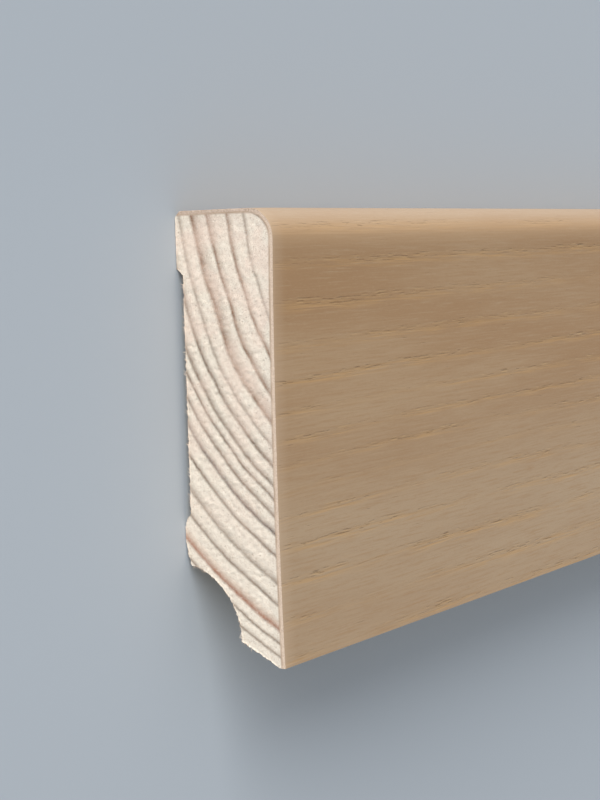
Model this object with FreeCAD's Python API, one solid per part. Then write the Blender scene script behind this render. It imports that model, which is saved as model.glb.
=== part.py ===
import FreeCAD, Part
import math
import os

# A length of veneered softwood skirting board. It lies on its back, so +X runs along its length, +Y from its
# floor edge to its top edge, and +Z from the wall side to the decorative front. The origin is at the middle
# of the wall plane. In the section, depth is counted from the front face towards the wall, and height from
# the floor edge up. Sizes are in millimetres.

board_length = 2400.0
board_height = 60.0
board_depth = 16.0

veneer_thickness = 0.6
top_round_radius = 4.0
back_arris = 0.9

# Wall side: an upper land, a shallow relief and the land on the nose, which stands over the cable hollow.
upper_land_height = 7.8
relief_depth = 0.9
upper_shoulder_run = 0.8
lower_shoulder_run = 1.2
nose_land_height = 4.0
nose_bevel_height = 2.0
nose_bevel_depth = 0.8

# Cable hollow: an arc about an axis that lies a little behind the wall plane.
hollow_radius = 9.7
hollow_axis_height = 2.8
hollow_axis_behind_wall = 0.8

# Foot: only its front edge meets the floor, and behind it the toe is cut away up to the hollow.
foot_width = 1.1


def section_point(depth, height):
    """Point of the section at the near end of the board."""
    return FreeCAD.Vector(-board_length / 2, height - board_height / 2, board_depth - depth)


def line(start, end):
    return Part.LineSegment(section_point(*start), section_point(*end)).toShape()


def arc(centre, radius, start, end):
    """Arc about centre from start to end, by the shorter way. All points are (depth, height) pairs."""
    middle_depth = (start[0] + end[0]) / 2 - centre[0]
    middle_height = (start[1] + end[1]) / 2 - centre[1]
    reach = radius / math.hypot(middle_depth, middle_height)
    middle = (centre[0] + middle_depth * reach, centre[1] + middle_height * reach)
    return Part.Arc(section_point(*start), section_point(*middle), section_point(*end)).toShape()


def solid_from(edges):
    """Solid of the board's length from the closed outline that the edges make."""
    face = Part.Face(Part.Wire(edges))
    return face.extrude(FreeCAD.Vector(board_length, 0, 0))


def decorative_edges(inset, foot, top_end):
    """Front face, rounded top edge and top, all at one inset from the outer surface."""
    radius = top_round_radius - inset
    round_centre = (top_round_radius, board_height - top_round_radius)
    round_start = (inset, round_centre[1])
    round_end = (round_centre[0], board_height - inset)
    return [
        line(foot, round_start),
        arc(round_centre, radius, round_start, round_end),
        line(round_end, top_end),
    ]


def wall_side_edges(top_end, foot_back):
    """Back arris, upper land, relief, nose, cable hollow and undercut toe, from the top down to the foot."""
    hollow_axis = (board_depth + hollow_axis_behind_wall, hollow_axis_height)
    hollow_top_depth = board_depth - nose_bevel_depth
    hollow_top_rise = math.sqrt(hollow_radius**2 - (hollow_axis[0] - hollow_top_depth) ** 2)
    hollow_top = (hollow_top_depth, hollow_axis_height + hollow_top_rise)
    toe_back = (hollow_axis[0] - hollow_radius, hollow_axis_height)

    nose_bottom = (board_depth, hollow_top[1] + nose_bevel_height)
    nose_top = (board_depth, nose_bottom[1] + nose_land_height)
    relief_bottom = (board_depth - relief_depth, nose_top[1] + lower_shoulder_run)

    land_top = (board_depth, board_height - back_arris)
    land_end = (board_depth, board_height - upper_land_height)
    relief_top = (board_depth - relief_depth, land_end[1] - upper_shoulder_run)

    return [
        line(top_end, land_top),
        line(land_top, land_end),
        line(land_end, relief_top),
        line(relief_top, relief_bottom),
        line(relief_bottom, nose_top),
        line(nose_top, nose_bottom),
        line(nose_bottom, hollow_top),
        arc(hollow_axis, hollow_radius, hollow_top, toe_back),
        line(toe_back, foot_back),
    ]


def whole_board():
    """The finished board, core and veneer together."""
    foot_front = (0, 0)
    foot_back = (foot_width, 0)
    top_end = (board_depth - back_arris, board_height)
    edges = decorative_edges(0, foot_front, top_end)
    edges += wall_side_edges(top_end, foot_back)
    edges.append(line(foot_back, foot_front))
    return solid_from(edges)


def space_under_veneer():
    """Everything behind the glue line, reaching past the board's wall side."""
    below = -board_height
    behind = 2 * board_depth
    foot = (veneer_thickness, below)
    top_end = (behind, board_height - veneer_thickness)
    edges = decorative_edges(veneer_thickness, foot, top_end)
    edges.append(line(top_end, (behind, below)))
    edges.append(line((behind, below), foot))
    return solid_from(edges)


board = whole_board()
under_veneer = space_under_veneer()
pieces = {
    "softwood_core": board.common(under_veneer),
    "face_veneer": board.cut(under_veneer),
}

os.makedirs("parts", exist_ok=True)
for name, shape in pieces.items():
    solid = shape.Solids[0]
    solid.exportStep("parts/" + name + ".step")
    print(name, "solids", len(shape.Solids), "volume", round(solid.Volume), "valid", solid.isValid())
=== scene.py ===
"""A length of veneered softwood skirting board, lying on its back and seen close to its sawn end."""

from __future__ import annotations

import logging
import math
from collections.abc import Callable, Iterable, Iterator, Sequence
from contextlib import contextmanager
from dataclasses import dataclass, field
from enum import Enum
from random import Random

import bmesh
import bpy
import numpy as np
from mathutils import Matrix, Vector


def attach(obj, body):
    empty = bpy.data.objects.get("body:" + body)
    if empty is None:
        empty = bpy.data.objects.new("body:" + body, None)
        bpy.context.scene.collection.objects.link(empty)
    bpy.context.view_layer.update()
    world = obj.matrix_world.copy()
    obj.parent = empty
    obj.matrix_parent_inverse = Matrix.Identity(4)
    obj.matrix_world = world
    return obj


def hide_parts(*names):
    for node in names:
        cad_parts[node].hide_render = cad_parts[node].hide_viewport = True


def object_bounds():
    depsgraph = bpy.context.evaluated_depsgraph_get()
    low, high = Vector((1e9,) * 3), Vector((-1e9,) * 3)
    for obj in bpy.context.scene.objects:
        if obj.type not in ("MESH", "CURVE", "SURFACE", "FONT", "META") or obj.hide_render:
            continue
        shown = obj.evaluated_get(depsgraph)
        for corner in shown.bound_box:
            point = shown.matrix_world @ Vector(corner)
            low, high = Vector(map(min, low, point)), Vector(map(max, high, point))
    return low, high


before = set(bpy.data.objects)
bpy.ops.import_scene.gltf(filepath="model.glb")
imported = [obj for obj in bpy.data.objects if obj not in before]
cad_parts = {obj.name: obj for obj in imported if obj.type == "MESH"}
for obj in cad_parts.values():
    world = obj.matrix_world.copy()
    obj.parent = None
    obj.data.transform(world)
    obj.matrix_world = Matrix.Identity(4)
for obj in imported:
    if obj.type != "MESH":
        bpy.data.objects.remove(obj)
cad_low, cad_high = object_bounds()

log = logging.getLogger("skirting_board")

MM = 0.001
# Two places closer than a hair count as one.
HAIR = 0.01 * MM
ALONG = Vector((1, 0, 0))
UPWARD = Vector((0, 1, 0))
OUTWARD = Vector((0, 0, 1))

Colour = tuple[float, float, float]
Pair = tuple[float, float]
# A point of the section is its depth and height, and a root is a point with the direction out of the wood.
Point = Pair
Root = tuple[Point, Pair]
Stop = tuple[float, Sequence[float]]
Piece = bpy.types.Object
Material = bpy.types.Material
Socket = bpy.types.NodeSocket
Value = Socket | float | Sequence[float]


def srgb(red: int, green: int, blue: int) -> Colour:
    """Turn a colour as a screen shows it, 0 to 255, into the linear values that a shader takes.

    Args:
        red: Red part.
        green: Green part.
        blue: Blue part.

    Returns:
        The linear colour, 0 to 1.
    """
    linear = []
    for part in (red, green, blue):
        share = part / 255
        linear.append(share / 12.92 if share <= 0.04045 else ((share + 0.055) / 1.055) ** 2.4)
    return tuple(linear)


def blend(first: Colour, second: Colour, share: float) -> Colour:
    """Colour that lies a share of the way from one to another."""
    return tuple(a + (b - a) * share for a, b in zip(first, second))


class End(Enum):
    """The two sawn ends of the board, each with the sign of its outward direction along X."""

    NEAR = -1
    FAR = 1


class Element(Enum):
    """What can be selected in an edit mesh, each with the name of its list."""

    VERT = "verts"
    EDGE = "edges"
    FACE = "faces"


class Latewood(Enum):
    """The hues that the dark band of a growth ring has in this board."""

    GREY = (88, 62, 38)
    PINK = (116, 73, 38)
    AMBER = (150, 94, 52)


@dataclass(frozen=True)
class GrowthRing:
    """One growth ring, by the sharp outer edge of its latewood band. Sizes are in millimetres.

    Args:
        radius: Distance of the band's outer edge from the pith.
        band: Width over which the wood darkens towards that edge.
        depth: How dark the band becomes, where 1 is the hue itself.
        hue: Hue of the latewood.
    """

    radius: float
    band: float
    depth: float
    hue: Latewood = Latewood.GREY


RINGS = (
    GrowthRing(32.65, 0.6, 0.7),
    GrowthRing(35.3, 0.9, 1.0, Latewood.PINK),
    GrowthRing(38.35, 1.1, 1.0, Latewood.PINK),
    GrowthRing(41.0, 1.75, 1.0, Latewood.PINK),
    GrowthRing(43.1, 0.7, 0.7),
    GrowthRing(45.05, 0.9, 1.0),
    GrowthRing(47.1, 0.9, 0.95),
    GrowthRing(48.4, 0.6, 1.0),
    GrowthRing(50.2, 0.8, 0.95),
    GrowthRing(52.2, 0.9, 1.1),
    GrowthRing(54.5, 0.7, 0.95),
    GrowthRing(57.6, 1.1, 0.78),
    GrowthRing(59.95, 0.8, 0.9),
    GrowthRing(62.85, 1.3, 1.1, Latewood.AMBER),
    GrowthRing(64.4, 0.5, 0.88),
    GrowthRing(66.05, 0.5, 0.9),
)


@dataclass(frozen=True)
class Bulge:
    """A place where the rings leave their circles. Sizes are in millimetres.

    Args:
        depth: Depth of its middle in the section.
        height: Height of its middle.
        spread: Distance at which it has faded out.
        push: How far it pushes the rings towards the pith.
    """

    depth: float
    height: float
    spread: float
    push: float


BULGES = (
    Bulge(9.3, 48.0, 8.0, 0.6),
    Bulge(12.5, 60.5, 6.5, -0.7),
)


@dataclass(frozen=True)
class Section:
    """Sizes of the board's section, in metres. A point of it is a pair of depth and height.

    Depth runs from the decorative front to the wall, and height from the floor edge to the top.
    """

    height: float
    depth: float
    veneer: float = 0.6 * MM
    top_round: float = 4.0 * MM
    back_arris: float = 0.9 * MM
    upper_land: float = 7.8 * MM
    relief: float = 0.9 * MM
    upper_shoulder: float = 0.8 * MM
    lower_shoulder: float = 1.2 * MM
    nose_land: float = 4.0 * MM
    nose_bevel_height: float = 2.0 * MM
    nose_bevel_depth: float = 0.8 * MM
    hollow_radius: float = 9.7 * MM
    hollow_axis_height: float = 2.8 * MM
    hollow_behind_wall: float = 0.8 * MM
    foot: float = 1.1 * MM

    def place(self, along: float, depth: float, height: float) -> Vector:
        """Point in the row's frame from its place along X, its depth and its height."""
        return Vector((along, height - self.height / 2, self.depth - depth))

    def read(self, place: Vector) -> Point:
        """Depth and height of a point in the row's frame."""
        return (self.depth - place.z, place.y + self.height / 2)

    @property
    def hollow_axis(self) -> Point:
        """Axis that the cable hollow is cut about."""
        return (self.depth + self.hollow_behind_wall, self.hollow_axis_height)

    @property
    def hollow_top(self) -> Point:
        """Point where the hollow meets the bevel under the nose.

        Returns:
            Its depth and height.
        """
        depth = self.depth - self.nose_bevel_depth
        across = self.hollow_axis[0] - depth
        return (depth, self.hollow_axis_height + math.sqrt(self.hollow_radius**2 - across**2))

    @property
    def toe_back(self) -> Point:
        """Point where the hollow meets the undercut of the toe."""
        return (self.hollow_axis[0] - self.hollow_radius, self.hollow_axis_height)

    @property
    def nose_bottom(self) -> float:
        """Height of the lower end of the land on the nose."""
        return self.hollow_top[1] + self.nose_bevel_height

    @property
    def nose_top(self) -> float:
        """Height of the upper end of the land on the nose."""
        return self.nose_bottom + self.nose_land

    @property
    def relief_bottom(self) -> float:
        """Height where the relief reaches its whole depth, above the nose."""
        return self.nose_top + self.lower_shoulder

    @property
    def relief_top(self) -> float:
        """Height where the relief has its whole depth for the last time, under the upper land."""
        return self.height - self.upper_land - self.upper_shoulder


def select_alone(piece: Piece) -> None:
    """Select one piece and nothing else, and make it the active one.

    Args:
        piece: The piece.
    """
    bpy.ops.object.select_all(action="DESELECT")
    piece.select_set(True)
    bpy.context.view_layer.objects.active = piece


@contextmanager
def editing(piece: Piece) -> Iterator[bmesh.types.BMesh]:
    """Open one piece alone in edit mode, with nothing selected.

    Args:
        piece: The mesh object to edit.

    Yields:
        The edit mesh, for selecting vertices, edges and faces by their place.
    """
    select_alone(piece)
    bpy.ops.object.mode_set(mode="EDIT")
    bpy.ops.mesh.select_all(action="DESELECT")
    yield bmesh.from_edit_mesh(piece.data)
    bpy.ops.object.mode_set(mode="OBJECT")


def pick(shape: bmesh.types.BMesh, kind: Element, wanted: Callable[[Vector], bool]) -> None:
    """Select the elements whose every vertex passes a test, and nothing else.

    Args:
        shape: The edit mesh.
        kind: Whether vertices, edges or faces are selected.
        wanted: Test on the place of one vertex.
    """
    bpy.ops.mesh.select_mode(type=kind.name)
    bpy.ops.mesh.select_all(action="DESELECT")
    for element in getattr(shape, kind.value):
        vertices = (element,) if kind is Element.VERT else element.verts
        element.select_set(all(wanted(vertex.co) for vertex in vertices))
    shape.select_flush_mode()


def slice_through(point: Vector, normal: Vector, trim: bool = False) -> None:
    """Cut what is selected with a plane.

    Args:
        point: A point of the plane.
        normal: The plane's normal, which points at the side that is cut off.
        trim: Whether the far side goes, with the cut closed, or both sides stay.
    """
    bpy.ops.mesh.bisect(
        plane_co=point, plane_no=normal, clear_outer=trim, use_fill=trim, threshold=0.1 * HAIR
    )


def slice_whole(point: Vector, normal: Vector, trim: bool = False) -> None:
    """Cut all that isn't hidden with a plane, as slice_through does."""
    bpy.ops.mesh.select_all(action="SELECT")
    slice_through(point, normal, trim)


def bevel_round(size: float, segments: int) -> None:
    """Round the selected edges."""
    bpy.ops.mesh.bevel(offset=size, segments=segments, profile=0.5, affect="EDGES")


def apply_modifier(piece: Piece, name: str) -> None:
    """Apply one modifier of a piece."""
    select_alone(piece)
    bpy.ops.object.modifier_apply(modifier=name)


def settle(piece: Piece) -> None:
    """Put a piece's place, turn and size into its mesh, so that its object sits at the origin."""
    select_alone(piece)
    bpy.ops.object.transform_apply(location=True, rotation=True, scale=True)


def subtract(piece: Piece, cutter: Piece) -> None:
    """Take one solid out of another and remove the cutter.

    Args:
        piece: The solid that is cut.
        cutter: The solid that is taken away.
    """
    cut = piece.modifiers.new("cut", "BOOLEAN")
    cut.operation = "DIFFERENCE"
    cut.solver = "EXACT"
    cut.object = cutter
    apply_modifier(piece, "cut")
    bpy.data.objects.remove(cutter, do_unlink=True)


class Shader:
    """The node tree of one material, built up from code."""

    def __init__(self, name: str) -> None:
        """Start a material with a surface shader and nothing joined to it.

        Args:
            name: Name of the material.
        """
        self.material = bpy.data.materials.new(name)
        self.material.use_nodes = True
        self.tree = self.material.node_tree
        self.surface = self.tree.nodes["Principled BSDF"]

    def feed(self, socket: Socket, value: Value) -> None:
        """Join an input to an output, or set it to a value.

        Args:
            socket: The input.
            value: An output, a number, a vector or a colour.
        """
        if isinstance(value, bpy.types.NodeSocket):
            self.tree.links.new(value, socket)
        elif socket.type == "RGBA":
            socket.default_value = (*value, 1.0)
        else:
            socket.default_value = value

    def node(self, kind: str, inputs: dict[str | int, Value], **settings: str) -> bpy.types.Node:
        """Add a node.

        Args:
            kind: Its kind, without the words that all kinds start with.
            inputs: What its inputs get, by name or number.
            settings: Its own settings, by name.

        Returns:
            The node.
        """
        node = self.tree.nodes.new(f"ShaderNode{kind}")
        for name, setting in settings.items():
            setattr(node, name, setting)
        for name, value in inputs.items():
            self.feed(node.inputs[name], value)
        return node

    def place(self, scale: Sequence[float] = (1, 1, 1), offset: Sequence[float] = (0, 0, 0)) -> Socket:
        """Object coordinates in millimetres, scaled and then moved."""
        return self.mapped(self.node("TexCoord", {}).outputs["Object"], scale, offset)

    def on_wrap(self, scale: Sequence[float] = (1, 1, 1), offset: Sequence[float] = (0, 0, 0)) -> Socket:
        """Coordinates that follow the veneer, X along the board and Y round its wrap, in millimetres."""
        return self.mapped(self.node("UVMap", {}, uv_map="wrap").outputs["UV"], scale, offset)

    def mapped(self, source: Socket, scale: Sequence[float], offset: Sequence[float]) -> Socket:
        """Turn a coordinate in metres into scaled millimetres, and move it."""
        inputs = {"Vector": source, "Scale": [factor / MM for factor in scale], "Location": offset}
        return self.node("Mapping", inputs).outputs["Vector"]

    def axes(self, where: Socket) -> tuple[Socket, ...]:
        """The three numbers of a coordinate."""
        return tuple(self.node("SeparateXYZ", {0: where}).outputs)

    def joined(self, x: Value, y: Value, z: Value = 0.0) -> Socket:
        """Coordinate of three numbers."""
        return self.node("CombineXYZ", {"X": x, "Y": y, "Z": z}).outputs[0]

    def length(self, where: Socket) -> Socket:
        """Distance of a coordinate from its origin."""
        return self.node("VectorMath", {0: where}, operation="LENGTH").outputs["Value"]

    def skin(self) -> Socket:
        """Depth under the decorative faces, counted in veneer thicknesses."""
        return self.node("Attribute", {}, attribute_name="skin").outputs["Fac"]

    def math(self, kind: str, first: Value, second: Value = 0.0) -> Socket:
        """Result of one sum on two values."""
        return self.node("Math", {0: first, 1: second}, operation=kind).outputs[0]

    def plus(self, first: Value, second: Value) -> Socket:
        """One value added to another."""
        return self.math("ADD", first, second)

    def minus(self, first: Value, second: Value) -> Socket:
        """One value less another."""
        return self.math("SUBTRACT", first, second)

    def times(self, first: Value, second: Value) -> Socket:
        """One value times another."""
        return self.math("MULTIPLY", first, second)

    def away(self, value: Value, middle: float) -> Socket:
        """How far a value is from a middle one, on either side."""
        return self.math("ABSOLUTE", self.minus(value, middle))

    def noise(self, where: Socket, detail: float = 2.0, rough: float = 0.5) -> Socket:
        """Soft noise, mostly from 0.25 to 0.75, with this many finer layers of this strength."""
        inputs = {"Vector": where, "Scale": 1.0, "Detail": detail, "Roughness": rough}
        return self.node("TexNoise", inputs).outputs["Fac"]

    def sway(self, where: Socket, reach: float, detail: float = 1.0) -> Socket:
        """Soft noise about nought, half the reach to either side."""
        return self.times(self.minus(self.noise(where, detail), 0.5), reach)

    def spread(
        self, value: Socket, low: float, high: float, at_low: float = 0.0, at_high: float = 1.0
    ) -> Socket:
        """Smooth step of a value, with one result up to its start and another past its end."""
        inputs = {"Value": value, "From Min": low, "From Max": high, "To Min": at_low, "To Max": at_high}
        return self.node("MapRange", inputs, interpolation_type="SMOOTHSTEP").outputs["Result"]

    def mix(self, share: Value, under: Value, over: Value) -> Socket:
        """Lay one colour on another.

        Args:
            share: How much of the upper colour there is.
            under: The colour underneath.
            over: The colour that is laid on it.

        Returns:
            The mixed colour.
        """
        node = self.node("Mix", {"Factor": share}, data_type="RGBA")
        lower, upper = (socket for socket in node.inputs if socket.type == "RGBA")
        self.feed(lower, under)
        self.feed(upper, over)
        return next(socket for socket in node.outputs if socket.type == "RGBA")

    def tint(self, under: Value, over: Value, value: Socket, *step: float) -> Socket:
        """Lay one colour on another by the smooth step of a value."""
        return self.mix(self.spread(value, *step), under, over)

    def ramp(self, value: Socket, stops: Sequence[Stop]) -> tuple[Socket, Socket]:
        """Colour and alpha along a list of stops.

        Args:
            value: Where on the ramp to look, 0 to 1.
            stops: Place and colour of each stop, in order, with at most 32 of them.

        Returns:
            The colour and the alpha.
        """
        node = self.node("ValToRGB", {"Fac": value})
        elements = node.color_ramp.elements
        while len(elements) < len(stops):
            elements.new(1.0)
        for element, (position, colour) in zip(elements, stops):
            element.position = position
            element.color = colour
        return node.outputs["Color"], node.outputs["Alpha"]

    def by_cut(self, low: float, high: float, share: float) -> Socket:
        """How close a point is to the nearer sawn end.

        Args:
            low: Distance in millimetres within which the result is whole.
            high: Distance at which it has faded out.
            share: The whole result.

        Returns:
            The share at the cut, 0 away from it.
        """
        along = self.axes(self.place())[0]
        nearer = self.math("MINIMUM", self.minus(along, cad_low.x / MM), self.minus(cad_high.x / MM, along))
        return self.spread(nearer, low, high, share, 0.0)

    def finished(
        self, colour: Value, rough: Value, shine: float, relief: Iterable[tuple[Socket, float]] = ()
    ) -> Material:
        """Join all that a surface needs.

        Args:
            colour: Its colour.
            rough: Its roughness, 0 to 1.
            shine: How much light it mirrors, where 0.5 is a plain gloss coat.
            relief: Heights, each with what a value of 1 stands for in millimetres.

        Returns:
            The material.
        """
        inputs = self.surface.inputs
        for name, value in (("Base Color", colour), ("Roughness", rough), ("Specular IOR Level", shine)):
            self.feed(inputs[name], value)
        under: dict[str, Value] = {}
        for height, tall in relief:
            bump = self.node("Bump", {"Strength": 1.0, "Distance": tall * MM, "Height": height, **under})
            under = {"Normal": bump.outputs["Normal"]}
            self.feed(inputs["Normal"], under["Normal"])
        return self.material


GLUE = srgb(186, 161, 139)


@dataclass(frozen=True)
class Softwood:
    """Solid softwood, with growth rings about a pith outside the board. Sizes are in millimetres.

    Args:
        section: The board's section.
        name: Name of the material.
        earlywood: Colour of the pale wood.
        strength: How much of the latewood's own colour shows.
        pith_depth: Depth of the pith in the section.
        pith_height: Height of the pith in the section.
        ramp_starts: Radii at which the colour ramps start.
        ramp_width: Stretch of radius that one colour ramp covers.
        darkening: Shares of latewood across a ring's band, each with its place in bands from the outer edge.
        sharp_edge: Width of a ring's sharp outer edge.
        drift: How far the pith moves down for each millimetre along the board.
        wave: How far the rings sway slowly.
        ripple: How far they sway from one millimetre to the next.
    """

    section: Section
    name: str
    earlywood: Colour
    strength: float
    pith_depth: float = -28.0
    pith_height: float = 60.8
    ramp_starts: tuple[float, ...] = (27.5, 41.6, 55.7)
    ramp_width: float = 14.1
    darkening: tuple[Pair, ...] = ((1.2, 0.0), (0.6, 0.4), (0.15, 1.0))
    sharp_edge: float = 0.24
    drift: float = 0.0016
    wave: float = 0.5
    ripple: float = 0.2

    def stops(self, first: float) -> list[Stop]:
        """Stops of one colour ramp over the rings, with the latewood's share as alpha.

        Args:
            first: Radius at which the ramp starts.

        Returns:
            The stops, in order.
        """
        made = [(0.0, (*self.earlywood, 0.0))]
        for ring in RINGS:
            if not first < ring.radius < first + self.ramp_width:
                continue
            late = blend(self.earlywood, srgb(*ring.hue.value), ring.depth * self.strength)
            band = [(ring.radius - ring.band * before, share) for before, share in self.darkening]
            for radius, share in (*band, (ring.radius + self.sharp_edge, 0.0)):
                colour = blend(self.earlywood, late, share)
                made.append(((radius - first) / self.ramp_width, (*colour, share)))
        return made

    def rings(self, shader: Shader) -> tuple[Socket, Socket]:
        """Colour and latewood share of the solid wood.

        Args:
            shader: The material's nodes.

        Returns:
            The colour, and how much latewood there is.
        """
        pith = self.section.place(0, self.pith_depth * MM, self.pith_height * MM) / MM
        along, up, out = shader.axes(shader.place(offset=(-cad_low.x / MM, -pith.y, -pith.z)))
        radius = shader.length(shader.joined(0.0, shader.plus(up, shader.times(along, self.drift)), out))
        radius = shader.plus(radius, shader.sway(shader.place((0.02, 0.18, 0.18)), self.wave))
        radius = shader.plus(radius, shader.sway(shader.place((0.3, 1.4, 1.4)), self.ripple, detail=2.0))
        for bulge in BULGES:
            middle = self.section.place(0, bulge.depth * MM, bulge.height * MM) / MM
            off = shader.length(shader.place((0, 1, 1), (0, -middle.y, -middle.z)))
            radius = shader.plus(radius, shader.spread(off, 0.0, bulge.spread, bulge.push, 0.0))
        colour: Value = self.earlywood
        share: Value = 0.0
        for first in self.ramp_starts:
            on_ramp = shader.math("DIVIDE", shader.minus(radius, first), self.ramp_width)
            ramp_colour, ramp_share = shader.ramp(on_ramp, self.stops(first))
            past = shader.math("GREATER_THAN", radius, first)
            colour = shader.mix(past, colour, ramp_colour)
            share = shader.math("MAXIMUM", share, shader.times(past, ramp_share))
        return colour, share


@dataclass(frozen=True)
class SawnEnd(Softwood):
    """Finish of the sawn ends: pale end grain with resin canals and a fuzz of cut fibres.

    Args:
        stain: How much of the glue's colour shows in the wood beside the veneer.
        blush: Pinkish colour of the blotches, which are stronger towards the top edge.
        tuft: Colour of the fibres that stand up.
        gap: Colour between them.
        grit: Colour of the coarse specks.
        canal: Colour of the resin canals.
    """

    stain: float = 0.6
    blush: Colour = srgb(232, 204, 186)
    tuft: Colour = srgb(246, 239, 228)
    gap: Colour = srgb(206, 184, 164)
    grit: Colour = srgb(186, 162, 142)
    canal: Colour = srgb(150, 130, 112)

    def material(self) -> Material:
        """Make the material.

        Returns:
            The material.
        """
        shader = Shader(self.name)
        colour, late = self.rings(shader)
        patchy = shader.spread(shader.noise(shader.place((1, 0.4, 0.4)), 3.0), 0.4, 0.7, 0.0, 0.2)
        colour = shader.mix(shader.times(patchy, late), colour, self.earlywood)
        upper = shader.spread(shader.axes(shader.place())[1], -25.0, 15.0, 0.05, 0.5)
        blotch = shader.spread(shader.noise(shader.place((1, 0.25, 0.25)), 3.0), 0.35, 0.65)
        colour = shader.mix(shader.times(blotch, upper), colour, self.blush)
        mottle = shader.noise(shader.place((6, 6, 6)), 3.0, 0.85)
        colour = shader.tint(colour, self.tuft, mottle, 0.5, 0.7, 0.0, 0.6)
        colour = shader.tint(colour, self.gap, mottle, 0.5, 0.3, 0.0, 0.6)
        grit = shader.noise(shader.place((7, 7, 7), (13, 5, 29)), 1.0)
        colour = shader.tint(colour, self.grit, grit, 0.56, 0.68, 0.0, 0.6)
        canals = shader.node("TexVoronoi", {"Vector": shader.place((0.02, 0.9, 0.9)), "Scale": 1.0})
        dots = shader.spread(canals.outputs["Distance"], 0.15, 0.05)
        colour = shader.mix(shader.times(dots, 0.45), colour, self.canal)
        colour = shader.tint(colour, GLUE, shader.away(shader.skin(), 1.0), 0.05, 0.4, self.stain, 0.0)
        saw = shader.noise(shader.place((1, 0.3, 4.0)))
        relief = ((late, 0.02), (mottle, 0.03), (grit, -0.03), (saw, 0.02), (dots, -0.03))
        return shader.finished(colour, 0.85, 0.2, relief)


@dataclass(frozen=True)
class MilledSide(Softwood):
    """Finish of the milled wall side: long grain with cutter marks across it.

    Args:
        streak: Deeper colour of the streaks along the grain.
        cloud: Paler colour of the broad clouds.
        cut: Pale colour beside the sawn ends.
    """

    streak: Colour = srgb(206, 170, 128)
    cloud: Colour = srgb(232, 214, 184)
    cut: Colour = srgb(238, 221, 202)

    def material(self) -> Material:
        """Make the material.

        Returns:
            The material.
        """
        shader = Shader(self.name)
        colour, late = self.rings(shader)
        streak = shader.noise(shader.place((0.03, 3.0, 3.0)), 3.0, 0.6)
        colour = shader.tint(colour, self.streak, streak, 0.4, 0.75, 0.0, 0.35)
        cloud = shader.noise(shader.place((0.01, 0.1, 0.1)))
        colour = shader.tint(colour, self.cloud, cloud, 0.4, 0.65, 0.0, 0.25)
        colour = shader.mix(shader.by_cut(0.4, 2.2, 0.85), colour, self.cut)
        fibre = shader.noise(shader.place((0.15, 8.0, 8.0)))
        inputs = {"Vector": shader.place(), "Scale": 0.22, "Distortion": 0.3}
        marks = shader.node("TexWave", inputs, bands_direction="X").outputs["Fac"]
        return shader.finished(colour, 0.7, 0.3, ((late, 0.03), (fibre, 0.08), (marks, 0.012)))


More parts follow.
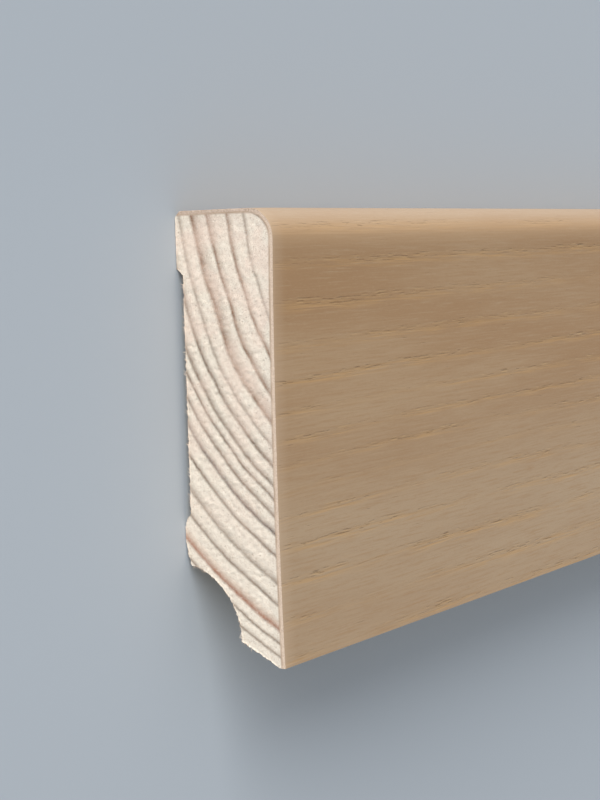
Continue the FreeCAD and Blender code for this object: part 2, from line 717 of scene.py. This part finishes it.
@dataclass(frozen=True)
class VeneerFace:
    """Finish of the decorative face: open-pored straight grain under a satin lacquer.

    Places are the way round the wrap from the floor edge up. They and all sizes are in millimetres.

    Args:
        name: Name of the material.
        light: Colour of the pale wood between the growth lines.
        dark: Colour of the denser wood.
        low: Paler, greyer colour that comes in towards the floor edge.
        high: Deeper colour that comes in towards the top edge.
        glow: Golden colour of the porous wood on a growth line.
        pore: Colour inside an open pore.
        lip: Pale gold on the lower lip of a pore, where it catches the light.
        edge: Painted highlight along the cut: a paler colour on the face beside each sawn end.
        rounding: Painted highlight on the rounded edge: a paler, greyer colour.
        shoulder: Painted highlight, a warm, paler colour where the face turns into the rounded edge.
        spacing: Mean distance of the growth lines.
        first_line: Place of the lowest line.
        crowding: How far the lines stray from even spacing, as a share of it.
        crowding_length: Distance over which the lines crowd and spread once.
        crowding_middle: Place where they stand closest.
        slow_sway: How far the lines sway over a hand's length.
        quick_sway: How far they sway over a finger's width.
        rounding_middle: Place where the painted highlight on the rounded edge is palest.
        shoulder_middle: Place where the face turns into the rounded edge, where that painted highlight is
            strongest.
        pores: Count of pores to a millimetre along the board and round the wrap.
    """

    name: str = "veneer_face"
    light: Colour = srgb(186, 156, 121)
    dark: Colour = srgb(173, 137, 99)
    low: Colour = srgb(188, 172, 148)
    high: Colour = srgb(164, 120, 72)
    glow: Colour = srgb(200, 158, 104)
    pore: Colour = srgb(114, 76, 38)
    lip: Colour = srgb(218, 184, 134)
    edge: Colour = srgb(206, 178, 148)
    rounding: Colour = srgb(208, 188, 166)
    shoulder: Colour = srgb(204, 168, 128)
    spacing: float = 4.16
    first_line: float = 2.0
    crowding: float = 0.35
    crowding_length: float = 42.0
    crowding_middle: float = 27.0
    slow_sway: float = 4.0
    quick_sway: float = 0.9
    rounding_middle: float = 60.5
    shoulder_middle: float = 56.8
    pores: tuple[float, float, float] = (0.3, 5.5, 1)

    def from_line(self, shader: Shader) -> tuple[Socket, Socket]:
        """Measure from the growth lines.

        Args:
            shader: The material's nodes.

        Returns:
            The height above the nearest growth line in millimetres, and how strong that line is here.
        """
        along, around, _ = shader.axes(shader.on_wrap())
        slow = shader.sway(shader.on_wrap((0.012, 0.03, 1)), self.slow_sway)
        quick = shader.sway(shader.on_wrap((0.09, 0.15, 1)), self.quick_sway)
        around = shader.plus(around, shader.plus(slow, quick))
        turn = shader.times(shader.minus(around, self.crowding_middle), 2 * math.pi / self.crowding_length)
        count = shader.math("DIVIDE", shader.minus(around, self.first_line), self.spacing)
        count = shader.plus(count, shader.times(shader.math("SINE", turn), self.crowding))
        number = shader.math("ROUND", count)
        above = shader.times(shader.minus(count, number), self.spacing)
        row = shader.joined(shader.times(along, 0.03), shader.times(number, 7.3))
        return above, shader.spread(shader.noise(row), 0.35, 0.62, 0.15, 1.0)

    def ground(self, shader: Shader, around: Socket) -> tuple[Socket, Socket]:
        """Colour of the wood under the growth lines.

        Args:
            shader: The material's nodes.
            around: Place round the wrap, in millimetres.

        Returns:
            The colour, and the fine grain that it follows.
        """
        cloud = shader.noise(shader.on_wrap((0.015, 0.09, 1)), 3.0)
        colour = shader.tint(self.light, self.dark, cloud, 0.3, 0.7, 0.05, 0.95)
        colour = shader.tint(colour, self.low, around, 10.0, 40.0, 0.35, 0.0)
        colour = shader.tint(colour, self.high, around, 24.0, 52.0, 0.0, 0.2)
        grain = shader.noise(shader.on_wrap((0.11, 2.8, 1)), 4.0, 0.75)
        colour = shader.tint(colour, self.dark, grain, 0.45, 0.7, 0.0, 0.7)
        colour = shader.tint(colour, self.light, grain, 0.5, 0.3, 0.0, 0.7)
        fuzz = shader.noise(shader.on_wrap((1.2, 3.0, 1), (3, 9, 0)), 3.0, 0.7)
        colour = shader.tint(colour, self.dark, fuzz, 0.5, 0.75, 0.0, 0.35)
        colour = shader.tint(colour, self.light, fuzz, 0.5, 0.25, 0.0, 0.35)
        return colour, grain

    def material(self) -> Material:
        """Make the material.

        Returns:
            The material.
        """
        shader = Shader(self.name)
        above, strength = self.from_line(shader)
        around = shader.axes(shader.on_wrap())[1]
        colour, grain = self.ground(shader, around)
        zone = shader.times(shader.spread(shader.away(above, 0.15), 0.15, 0.6, 1.0, 0.0), strength)
        slits = shader.noise(shader.on_wrap(self.pores))
        pores = shader.times(shader.spread(slits, 0.58, 0.68), zone)
        lips = shader.noise(shader.on_wrap(self.pores, (0, 1.1, 0)))
        lips = shader.times(shader.spread(lips, 0.55, 0.66, 0.0, 0.55), zone)
        colour = shader.mix(lips, colour, self.lip)
        stray = shader.noise(shader.on_wrap((0.2, 4.5, 1), (31, 17, 5)))
        pores = shader.math("MAXIMUM", pores, shader.spread(stray, 0.70, 0.78, 0.0, 0.5))
        band = shader.times(shader.spread(shader.away(above, -0.3), 0.0, 0.9, 1.0, 0.0), strength)
        streaks = shader.noise(shader.on_wrap((0.12, 2.5, 1), (7, 3, 0)), 3.0)
        band = shader.times(band, shader.spread(streaks, 0.35, 0.65))
        colour = shader.mix(shader.times(band, 0.6), colour, self.glow)
        shade = shader.spread(shader.minus(above, 0.3), -0.4, 0.9, 1.0, 0.0)
        shade = shader.times(shader.times(shade, shader.spread(above, -0.2, 0.2)), strength)
        colour = shader.mix(shader.times(shade, 0.08), colour, self.pore)
        colour = shader.mix(shader.times(pores, 0.45), colour, self.pore)
        # Painted highlight: the warm, paler lower tail of the rounded edge's highlight, where the face turns
        # into it.
        from_highlight_tail = shader.away(around, self.shoulder_middle)
        colour = shader.tint(colour, self.shoulder, from_highlight_tail, 0.5, 2.6, 0.45, 0.0)
        # Painted highlight: a paler, greyer colour on the rounded edge, strongest at its middle.
        from_highlight = shader.away(around, self.rounding_middle)
        colour = shader.tint(colour, self.rounding, from_highlight, 0.5, 4.0, 0.4, 0.0)
        # Painted highlight: a paler strip on the face beside each sawn end, narrow and strong at the cut
        # with a broader weak tail.
        pale = shader.plus(shader.by_cut(0.0, 0.8, 0.2), shader.by_cut(0.2, 3.2, 0.35))
        colour = shader.mix(pale, colour, self.edge)
        rough = shader.spread(grain, 0.3, 0.7, 0.42, 0.54)
        return shader.finished(colour, rough, 0.4, ((pores, -0.05), (band, -0.02), (grain, 0.02)))


@dataclass(frozen=True)
class VeneerEdge:
    """Finish of the veneer's cut edge: pinkish end grain with the glue line on its inner side.

    Args:
        name: Name of the material.
        wood: Colour of the cut veneer.
        soiled: Colour of the cut veneer on the top, where it is darker and fuzzy.
        tuft: Colour of the fibres that stand up.
        gap: Colour between them.
    """

    name: str = "veneer_edge"
    wood: Colour = srgb(223, 199, 176)
    soiled: Colour = srgb(190, 168, 150)
    tuft: Colour = srgb(236, 216, 198)
    gap: Colour = srgb(150, 124, 104)

    def material(self) -> Material:
        """Make the material.

        Returns:
            The material.
        """
        shader = Shader(self.name)
        grit = shader.noise(shader.place((5, 5, 5)), 3.0, 0.8)
        top = shader.spread(shader.axes(shader.on_wrap())[1], 58.0, 63.0, 0.15, 0.9)
        colour = shader.mix(top, self.wood, self.soiled)
        tufts = shader.spread(grit, 0.5, 0.65)
        colour = shader.mix(shader.times(tufts, 0.5), colour, self.tuft)
        gaps = shader.spread(grit, 0.48, 0.32)
        colour = shader.mix(shader.times(gaps, shader.plus(top, 0.2)), colour, self.gap)
        patch = shader.spread(shader.noise(shader.place((1, 0.35, 0.35))), 0.35, 0.6, 0.35, 1.0)
        line = shader.spread(shader.skin(), 0.55, 0.85)
        colour = shader.mix(shader.times(line, patch), colour, GLUE)
        return shader.finished(colour, 0.8, 0.2, ((grit, 0.1),))


@dataclass
class Board:
    """What every piece of the board shares: its section, its two ends and how a sawn end is worked.

    Args:
        piece: The piece that is being made.
        section: The board's section.
        near: X of the near sawn end.
        far: X of the far sawn end.
        grid: Size of the cells that a sawn end is divided into.
        loops: Distances from a sawn end at which the sides get a loop of edges.
        bend_step: Height between two loops of edges on the long sides.
        end_relief: Depth of the saw marks on the ends.
        end_blob: Size of those marks.
        side_relief: Depth of the roughness that the saw leaves beside an end.
        side_blob: Size of that roughness.
        cupping: How far the front face is hollow at most.
        cupping_middle: Height at which it is most hollow.
        cupping_top: Share of the board's height at which it is flat again.
        crease: Least angle of a corner that is shaded sharp.
        round_segments: Number of flats on the rounded top edge.
    """

    piece: Piece = field(init=False)
    section: Section
    near: float
    far: float
    grid: float = 0.25 * MM
    loops: tuple[float, ...] = (0.25 * MM, 0.6 * MM, 1.1 * MM, 1.8 * MM, 2.8 * MM, 4.2 * MM, 6.0 * MM)
    bend_step: float = 3.0 * MM
    end_relief: float = 0.09 * MM
    end_blob: float = 0.6 * MM
    side_relief: float = 0.28 * MM
    side_blob: float = 0.35 * MM
    cupping: float = 0.4 * MM
    cupping_middle: float = 27.0 * MM
    cupping_top: float = 0.94
    crease: float = math.radians(35)
    round_segments: int = 16

    def plane(self, end: End) -> float:
        """X of a sawn end."""
        return self.near if end is End.NEAR else self.far

    def block(self, inset: float, past: float = 0.0) -> Piece:
        """A block of the board's length whose front face, rounded edge and top lie at one inset.

        Args:
            inset: How far the decorative faces lie below the board's surface.
            past: How far the block reaches past each end, the floor edge and the wall plane.

        Returns:
            The block.
        """
        section = self.section
        low = section.place(self.near - past, section.depth + past, -past)
        high = section.place(self.far + past, inset, section.height - inset)
        bpy.ops.mesh.primitive_cube_add(size=1, location=(low + high) / 2, scale=high - low)
        block = bpy.context.active_object
        settle(block)
        with editing(block) as shape:
            pick(shape, Element.EDGE, lambda at: at.y > high.y - HAIR and at.z > high.z - HAIR)
            bevel_round(section.top_round - inset, self.round_segments)
        return block

    def trim(self, first: Point, second: Point, out: Vector) -> None:
        """Plane the piece off along its length, on a plane through two points of the section.

        Args:
            first: One point.
            second: The other.
            out: A direction that points at the side that goes.
        """
        start = self.section.place(0, *first)
        normal = (self.section.place(0, *second) - start).cross(ALONG).normalized()
        if normal.dot(out) < 0:
            normal.negate()
        with editing(self.piece):
            slice_whole(start, normal, trim=True)

    def trim_arris(self) -> None:
        """Break the edge between the top and the wall side."""
        section = self.section
        along_top = (section.depth - section.back_arris, section.height)
        down_back = (section.depth, section.height - section.back_arris)
        self.trim(along_top, down_back, UPWARD - OUTWARD)

    def divide(self) -> None:
        """Give the long sides loops of edges, so that they can bend, and both ends a fine mesh."""
        with editing(self.piece):
            for row in range(1, int(self.section.height / self.bend_step)):
                slice_whole(self.section.place(0, 0, row * self.bend_step), UPWARD)
        for end in End:
            self.divide_end(end)

    def divide_end(self, end: End) -> None:
        """Give a sawn end and the sides beside it a fine mesh.

        Args:
            end: Which end.
        """
        plane = self.plane(end)
        reach = self.loops[-1] + HAIR
        with editing(self.piece) as shape:
            for distance in self.loops:
                slice_whole(ALONG * (plane - end.value * distance), ALONG)
            pick(shape, Element.FACE, lambda at: abs(at.x - plane) < reach)
            bpy.ops.mesh.hide(unselected=True)
            for axis, normal in ((1, UPWARD), (2, OUTWARD)):
                levels = [corner[axis] for corner in self.piece.bound_box]
                low, high = min(levels), max(levels)
                count = int((high - low) / self.grid)
                for step in range(1, count + 1):
                    slice_whole(normal * (low + (high - low) * step / (count + 1)), normal)
            bpy.ops.mesh.reveal(select=False)

    def lay_skin(self) -> None:
        """Store each point's depth under the decorative faces, counted in veneer thicknesses."""
        mesh = self.piece.data
        skin = mesh.attributes.new("skin", "FLOAT", "POINT")
        for index, vertex in enumerate(mesh.vertices):
            skin.data[index].value = self.wrapped(vertex.co)[0] / self.section.veneer

    def wrapped(self, place: Vector) -> Point:
        """Find where a point lies under the decorative faces.

        Args:
            place: The point.

        Returns:
            Its depth under the nearest decorative face, and the way from the floor edge up the front and
            round the top to the place above it.
        """
        section = self.section
        depth, height = section.read(place)
        straight = section.height - section.top_round
        over = height - straight
        if over < 0:
            return depth, height
        across = section.top_round - depth
        if across < 0:
            return section.top_round - over, straight + section.top_round * math.pi / 2 - across
        way = straight + section.top_round * math.atan2(over, across)
        return section.top_round - math.hypot(across, over), way

    def dress(self, side: Material, sawn: Material) -> None:
        """Give the piece its finishes, while its end faces still lie in the end planes.

        Args:
            side: Finish of the long sides.
            sawn: Finish of the sawn ends.
        """
        select_alone(self.piece)
        bpy.ops.object.shade_smooth_by_angle(angle=self.crease)
        mesh = self.piece.data
        mesh.materials.clear()
        mesh.materials.append(side)
        mesh.materials.append(sawn)
        for face in mesh.polygons:
            face.material_index = int(min(face.center.x - self.near, self.far - face.center.x) < HAIR)

    def age(self, side_weight: Callable[[Vector], float]) -> None:
        """Let the piece cup and roughen both its ends.

        Args:
            side_weight: How much the saw tears the side at a point, from 0 to 1.
        """
        self.cup()
        for end in End:
            self.weather_end(end, side_weight)

    def cup(self) -> None:
        """Let the front face hollow a little, as wood does when it dries, with the wall side left true."""
        section = self.section
        name = "cupped"
        group = self.piece.vertex_groups.new(name=name)
        middle = self.cupping_middle / section.height
        for vertex in self.piece.data.vertices:
            height = section.read(vertex.co)[1] / section.height
            off = (height - middle) / (middle if height < middle else self.cupping_top - middle)
            weight = max(1 - off * off, 0.0) * vertex.co.z / section.depth
            group.add([vertex.index], weight, "REPLACE")
        self.push_in(name, "Z", -self.cupping)

    def weather_end(self, end: End, side_weight: Callable[[Vector], float]) -> None:
        """Roughen a sawn end and the edge round it.

        Args:
            end: Which end.
            side_weight: How much the saw tears the side at a point, from 0 to 1.
        """
        face_name = f"sawn_{end.name.lower()}"
        side_name = f"beside_{end.name.lower()}"
        face = self.piece.vertex_groups.new(name=face_name)
        side = self.piece.vertex_groups.new(name=side_name)
        fade = self.loops[-1]
        for vertex in self.piece.data.vertices:
            distance = abs(vertex.co.x - self.plane(end))
            if distance < HAIR:
                face.add([vertex.index], 1.0, "REPLACE")
            if distance < fade:
                torn = side_weight(vertex.co) * (1 - distance / fade) ** 2
                side.add([vertex.index], torn, "REPLACE")
        self.push_in(side_name, "NORMAL", -self.side_relief, self.side_blob)
        self.push_in(face_name, "X", -end.value * self.end_relief, self.end_blob)

    def push_in(self, group: str, way: str, strength: float, blob: float = 0.0) -> None:
        """Push the vertices of a group to one side, evenly or by a cloud pattern.

        Args:
            group: Name of the vertex group, whose weights scale the push.
            way: Direction of the push.
            strength: The furthest push, negative against the direction.
            blob: Size of the pattern's blobs, or 0 for an even push.
        """
        push = self.piece.modifiers.new(group, "DISPLACE")
        push.vertex_group = group
        push.direction = way
        push.strength = strength
        push.mid_level = 0.0
        if blob:
            texture = bpy.data.textures.new(group, "CLOUDS")
            texture.noise_scale = blob
            texture.noise_depth = 2
            push.texture = texture
            push.texture_coords = "LOCAL"
        apply_modifier(self.piece, group)


@dataclass
class SoftwoodCore(Board):
    """The solid softwood core with its milled wall side.

    Args:
        nose_upper_round: Size of the rounding at the top of the nose.
        nose_under_round: Size of the rounding at the bottom of the nose.
        nose_segments: Number of flats on each of them.
        cutter_facets: Number of flats round the cutter for the cable hollow.
        cutter_length: Length of that cutter, in board lengths.
        held: Distance from the veneer over which it holds the fibres.
        torn_land: How much the saw tears the two lands.
    """

    nose_upper_round: float = 0.7 * MM
    nose_under_round: float = 1.3 * MM
    nose_segments: int = 6
    cutter_facets: int = 160
    cutter_length: float = 1.01
    held: float = 1.5 * MM
    torn_land: float = 0.3

    def build(self) -> Piece:
        """Model the core and dress it.

        Returns:
            The finished piece.
        """
        self.piece = self.block(self.section.veneer)
        self.piece.name = self.piece.data.name = "core_wood"
        self.trim_arris()
        self.cut_hollow()
        self.trim_toe_and_nose()
        self.sink_relief()
        self.round_nose()
        self.divide()
        self.lay_skin()
        milled = MilledSide(self.section, "milled_softwood", srgb(224, 198, 158), 0.42)
        sawn = SawnEnd(self.section, "sawn_softwood", srgb(235, 223, 205), 1.0)
        self.dress(milled.material(), sawn.material())
        self.age(self.torn)
        return self.piece

    def cut_hollow(self) -> None:
        """Cut the cable hollow with a round cutter that runs the whole length."""
        section = self.section
        bpy.ops.mesh.primitive_cylinder_add(
            vertices=self.cutter_facets,
            radius=section.hollow_radius,
            depth=(self.far - self.near) * self.cutter_length,
            location=section.place((self.near + self.far) / 2, *section.hollow_axis),
            rotation=(0, math.pi / 2, 0),
        )
        cutter = bpy.context.active_object
        settle(cutter)
        subtract(self.piece, cutter)

    def trim_toe_and_nose(self) -> None:
        """Undercut the toe and bevel the underside of the nose."""
        section = self.section
        under = -UPWARD - OUTWARD
        self.trim((section.foot, 0), section.toe_back, under)
        self.trim((section.depth, section.nose_bottom), section.hollow_top, under)

    def sink_relief(self) -> None:
        """Sink the back between the two lands, with a sloping shoulder at each end."""
        section = self.section
        land_end = section.height - section.upper_land
        with editing(self.piece) as shape:
            for height in (land_end, section.relief_top, section.nose_top, section.relief_bottom):
                pick(shape, Element.FACE, lambda at: at.z < HAIR)
                slice_through(section.place(0, section.depth, height), UPWARD)
            low = section.place(0, 0, section.relief_bottom).y - HAIR
            high = section.place(0, 0, section.relief_top).y + HAIR
            pick(shape, Element.FACE, lambda at: at.z < HAIR and low < at.y < high)
            bpy.ops.transform.translate(value=OUTWARD * section.relief)

    def round_nose(self) -> None:
        """Round the two edges of the land on the nose."""
        section = self.section
        edges = ((section.nose_bottom, self.nose_under_round), (section.nose_top, self.nose_upper_round))
        for height, size in edges:
            level = section.place(0, 0, height).y
            with editing(self.piece) as shape:
                pick(shape, Element.EDGE, lambda at: at.z < HAIR and abs(at.y - level) < HAIR)
                bevel_round(size, self.nose_segments)

    def torn(self, place: Vector) -> float:
        """How much the saw tears the core's side at a point.

        Args:
            place: The point.

        Returns:
            A share, which is 0 where the veneer holds the fibres.
        """
        section = self.section
        depth, height = section.read(place)
        from_veneer = min(depth - section.veneer, section.height - section.veneer - height)
        most = self.torn_land if place.z < HAIR else 1.0
        return min(max(from_veneer / self.held, 0.0), most)


@dataclass
class FaceVeneer(Board):
    """The veneer that wraps the front face, the rounded edge and the top.

    Args:
        end_relief: Depth of the saw marks on the ends.
        wear: How much the saw wears the veneer's skin on the top.
        wear_from: Depth from the front at which that starts, in radii of the rounded edge.
        skin: How far that skin reaches down.
    """

    end_relief: float = 0.08 * MM
    wear: float = 0.5
    wear_from: float = 0.8
    skin: float = 0.05 * MM

    def build(self) -> Piece:
        """Model the veneer and dress it.

        Returns:
            The finished piece.
        """
        self.piece = self.block(0.0)
        self.piece.name = self.piece.data.name = "veneer_wrap"
        subtract(self.piece, self.block(self.section.veneer, past=1 * MM))
        self.trim_arris()
        self.divide()
        self.lay_skin()
        self.lay_wrap()
        self.dress(VeneerFace().material(), VeneerEdge().material())
        self.age(self.worn)
        return self.piece

    def worn(self, place: Vector) -> float:
        """How much the saw wears the veneer's side at a point.

        Args:
            place: The point.

        Returns:
            A share, which is 0 everywhere but on the outer skin of the top.
        """
        section = self.section
        on_skin = place.y > section.height / 2 - self.skin
        on_top = section.depth - place.z > section.top_round * self.wear_from
        return self.wear if on_skin and on_top else 0.0

    def lay_wrap(self) -> None:
        """Store the way along the board and round the wrap as a UV map."""
        mesh = self.piece.data
        wrap = np.array([(vertex.co.x, self.wrapped(vertex.co)[1]) for vertex in mesh.vertices], np.float32)
        layer = mesh.uv_layers.new(name="wrap")
        corners = np.empty(len(mesh.loops), np.int32)
        mesh.loops.foreach_get("vertex_index", corners)
        layer.data.foreach_set("uv", wrap[corners].ravel())


@dataclass
class TornFibres(Board):
    """The fuzz of torn fibres that the saw leaves along the wall side of both ends.

    Args:
        length: Length of a middling fibre.
        thickness: Thickness of a fibre at its root.
        tip: Thickness at its tip, as a share of that.
        cuts: Shares of the length at which a fibre has a loop of edges.
        bends: Shares of the length past which it shifts, each with the shift as such a share.
        rooted: How deep a fibre starts in the wood.
        from_cut: Nearest and furthest distance of a root from the sawn end.
        inward: Least and greatest lean away from the sawn end.
        aside: Least and greatest lean to one side.
        widths: Least and greatest width, as a share of the sliver's.
        flatness: Least and greatest share of the width that a fibre is thick.
        lengths: Lengths that a fibre can have, as shares of the sliver's.
        splinters: Heights of the splinters under the nose, above the top of the hollow.
        splinter_way: Direction of the splinters in the section.
        on_relief: How many there are along the relief at one end.
        in_hollow: How many there are in the cable hollow at one end.
        on_toe: How many there are on the toe's undercut at one end.
        toe_stretch: Stretch of the undercut that they stand on, as shares of it.
        seed: Start of the random places.
    """

    length: float = 0.5 * MM
    thickness: float = 0.14 * MM
    tip: float = 0.25
    cuts: Pair = (0.4, 0.7)
    bends: tuple[Pair, ...] = ((0.6, 0.08), (0.9, 0.16))
    rooted: float = 0.12 * MM
    from_cut: Pair = (0.22 * MM, 0.5 * MM)
    inward: Pair = (0.1, 0.5)
    aside: Pair = (-0.9, 0.6)
    widths: Pair = (0.5, 1.2)
    flatness: Pair = (0.5, 1.0)
    lengths: tuple[float, ...] = (0.5, 0.7, 0.8, 1.0, 1.3)
    splinters: tuple[float, ...] = (0.2 * MM, 0.35 * MM, 0.6 * MM)
    splinter_way: Pair = (0.5, -0.85)
    on_relief: int = 120
    in_hollow: int = 70
    on_toe: int = 30
    toe_stretch: Pair = (0.3, 1.0)
    seed: int = 7

    def build(self) -> Piece:
        """Model one sliver, copy it round both ends and dress the whole.

        Returns:
            The finished piece.
        """
        random = Random(self.seed)
        pattern = self.sliver()
        copies = [self.plant(pattern, end, root, random) for end in End for root in self.roots(random)]
        bpy.data.objects.remove(pattern, do_unlink=True)
        self.piece = copies[0]
        select_alone(self.piece)
        for copy in copies:
            copy.select_set(True)
        bpy.ops.object.join()
        settle(self.piece)
        self.piece.name = self.piece.data.name = "torn_fibres"
        finish = SawnEnd(self.section, "loose_fibres", srgb(240, 224, 206), 0.5)
        self.piece.data.materials.append(finish.material())
        return self.piece

    def sliver(self) -> Piece:
        """Model one sliver that stands on the origin: a tapered, bent shaving.

        Returns:
            The sliver.
        """
        whole = self.length + self.rooted
        bpy.ops.object.select_all(action="DESELECT")
        bpy.ops.mesh.primitive_cone_add(
            vertices=6,
            radius1=self.thickness / 2,
            radius2=self.thickness / 2 * self.tip,
            depth=whole,
            location=OUTWARD * whole / 2,
        )
        sliver = bpy.context.active_object
        settle(sliver)
        with editing(sliver) as shape:
            for share in self.cuts:
                slice_whole(OUTWARD * whole * share, OUTWARD)
            for share, shift in self.bends:
                pick(shape, Element.VERT, lambda at: at.z > whole * share)
                bpy.ops.transform.translate(value=ALONG * whole * shift)
        return sliver

    def roots(self, random: Random) -> list[Root]:
        """Find the roots of the fibres round one end.

        Args:
            random: Source of the random places.

        Returns:
            The point of each root, with the direction in the section that leads out of the wood.
        """
        section = self.section
        found = []
        for _ in range(self.on_relief):
            height = random.uniform(section.relief_bottom, section.relief_top)
            found.append(((section.depth - section.relief, height), (1.0, 0.0)))
        top_depth, top_height = section.hollow_top
        for height in self.splinters:
            found.append(((top_depth, top_height + height), self.splinter_way))
        axis_depth, axis_height = section.hollow_axis
        first = math.atan2(top_height - axis_height, top_depth - axis_depth)
        for _ in range(self.in_hollow):
            turn = random.uniform(first, math.pi)
            across, up = math.cos(turn), math.sin(turn)
            root = (axis_depth + section.hollow_radius * across, axis_height + section.hollow_radius * up)
            found.append((root, (-across, -up)))
        back, high = section.toe_back
        run = math.hypot(back - section.foot, high)
        out = (high / run, (section.foot - back) / run)
        for _ in range(self.on_toe):
            share = random.uniform(*self.toe_stretch)
            found.append(((section.foot + (back - section.foot) * share, high * share), out))
        return found

    def plant(self, pattern: Piece, end: End, root: Root, random: Random) -> Piece:
        """Copy the sliver to one root.

        Args:
            pattern: The sliver that is copied.
            end: The end that it stands at.
            root: The point of the root, and the direction that leads out of the wood.
            random: Source of the random lean and size.

        Returns:
            The copy.
        """
        point, (deeper, higher) = root
        inward = -end.value
        way = Vector((inward * random.uniform(*self.inward), higher, -deeper))
        way += Vector((0, -deeper, -higher)) * random.uniform(*self.aside)
        way.normalize()
        foot = self.section.place(self.plane(end) + inward * random.uniform(*self.from_cut), *point)
        copy = pattern.copy()
        copy.data = pattern.data.copy()
        bpy.context.collection.objects.link(copy)
        copy.rotation_mode = "QUATERNION"
        copy.rotation_quaternion = way.to_track_quat("Z", "Y")
        copy.location = foot - way * self.rooted
        width = random.uniform(*self.widths)
        copy.scale = (width, width * random.uniform(*self.flatness), random.choice(self.lengths))
        return copy


@dataclass(frozen=True)
class Studio:
    """Floor, light and camera.

    Args:
        near: X of the near sawn end.
        floor_colour: Colour of the floor.
        floor_size: Length of the floor's sides, in metres.
        floor_drop: How far the floor lies under the board.
        lamp_from: Direction from the board to the lamp.
        lamp_strength: Light on a surface that faces the lamp, where pi shows a colour as it is written.
        lamp_spread: Angle that the lamp fills as seen from the board.
        room_colour: Colour of the even light of the room.
        room_strength: Strength of that light.
        camera_from_end: Way from the near end's middle on the wall plane to the camera, in millimetres.
        looking: Direction in which the camera looks.
        upward: Direction that is up in the picture.
        sensor: Length of the sensor along the picture's long side, in millimetres.
        lens: Focal length, in millimetres.
        clip: Nearest and furthest distance that the camera sees, in metres.
    """

    near: float
    floor_colour: Colour = srgb(188, 196, 203)
    floor_size: float = 120.0
    floor_drop: float = 0.05 * MM
    lamp_from: tuple[float, float, float] = (-0.66, 0.8, 0.33)
    lamp_strength: float = 3.65
    lamp_spread: float = math.radians(50)
    room_colour: Colour = srgb(232, 235, 240)
    room_strength: float = 0.55
    camera_from_end: tuple[float, float, float] = (-178.7, 24.5, 146.6)
    looking: tuple[float, float, float] = (0.812, -0.0871, -0.5771)
    upward: tuple[float, float, float] = (0.0878, 0.9958, -0.0267)
    sensor: float = 36.0
    lens: float = 77.75
    clip: Pair = (0.01, 200.0)

    def floor(self) -> Piece:
        """Lay the plain floor.

        Returns:
            The floor.
        """
        bpy.ops.mesh.primitive_plane_add(size=self.floor_size, location=(0, 0, -self.floor_drop))
        floor = bpy.context.active_object
        floor.name = "floor"
        settle(floor)
        floor.data.materials.append(Shader("floor").finished(self.floor_colour, 0.6, 0.2))
        return floor

    def light(self) -> Piece:
        """Hang one broad lamp far off, and set the even light of the room.

        Returns:
            The lamp.
        """
        data = bpy.data.lights.new("key", "SUN")
        data.energy = self.lamp_strength
        data.angle = self.lamp_spread
        lamp = bpy.data.objects.new("key", data)
        bpy.context.scene.collection.objects.link(lamp)
        lamp.rotation_mode = "QUATERNION"
        lamp.rotation_quaternion = Vector(self.lamp_from).to_track_quat("Z", "Y")
        world = bpy.data.worlds.new("room")
        world.use_nodes = True
        background = world.node_tree.nodes["Background"]
        background.inputs["Color"].default_value = (*self.room_colour, 1.0)
        background.inputs["Strength"].default_value = self.room_strength
        bpy.context.scene.world = world
        bpy.context.scene.view_settings.view_transform = "Standard"
        return lamp

    def camera(self) -> Piece:
        """Set the camera at the photograph's angle.

        Returns:
            The camera.
        """
        data = bpy.data.cameras.new("camera")
        data.lens = self.lens
        data.sensor_width = self.sensor
        data.clip_start, data.clip_end = self.clip
        camera = bpy.data.objects.new("camera", data)
        bpy.context.scene.collection.objects.link(camera)
        back = -Vector(self.looking).normalized()
        right = Vector(self.upward).cross(back).normalized()
        turn = Matrix((right, back.cross(right), back)).transposed()
        place = ALONG * self.near + Vector(self.camera_from_end) * MM
        camera.matrix_world = Matrix.Translation(place) @ turn.to_4x4()
        bpy.context.scene.camera = camera
        return camera


def hand_over(piece: Piece, node: str) -> None:
    """Let a finished piece ride with the board in place of its CAD node.

    Args:
        piece: The finished piece.
        node: The CAD node that it stands for.
    """
    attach(piece, "root")
    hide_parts(node)
    log.info("%s: %d faces", piece.name, len(piece.data.polygons))


def main() -> None:
    """Build the board piece by piece and set it in the studio."""
    logging.basicConfig(level=logging.INFO, format="%(name)s: %(message)s")
    section = Section(height=cad_high.y - cad_low.y, depth=cad_high.z - cad_low.z)
    for maker, node, slot in (
        (SoftwoodCore, "softwood_core", "softwood"),
        (FaceVeneer, "face_veneer", "veneer"),
        (TornFibres, "softwood_core", "softwood"),
    ):
        hand_over(maker(section, cad_low.x, cad_high.x).build(), node)
    studio = Studio(cad_low.x)
    studio.floor()
    studio.light()
    studio.camera()


if __name__ == "__main__":
    main()
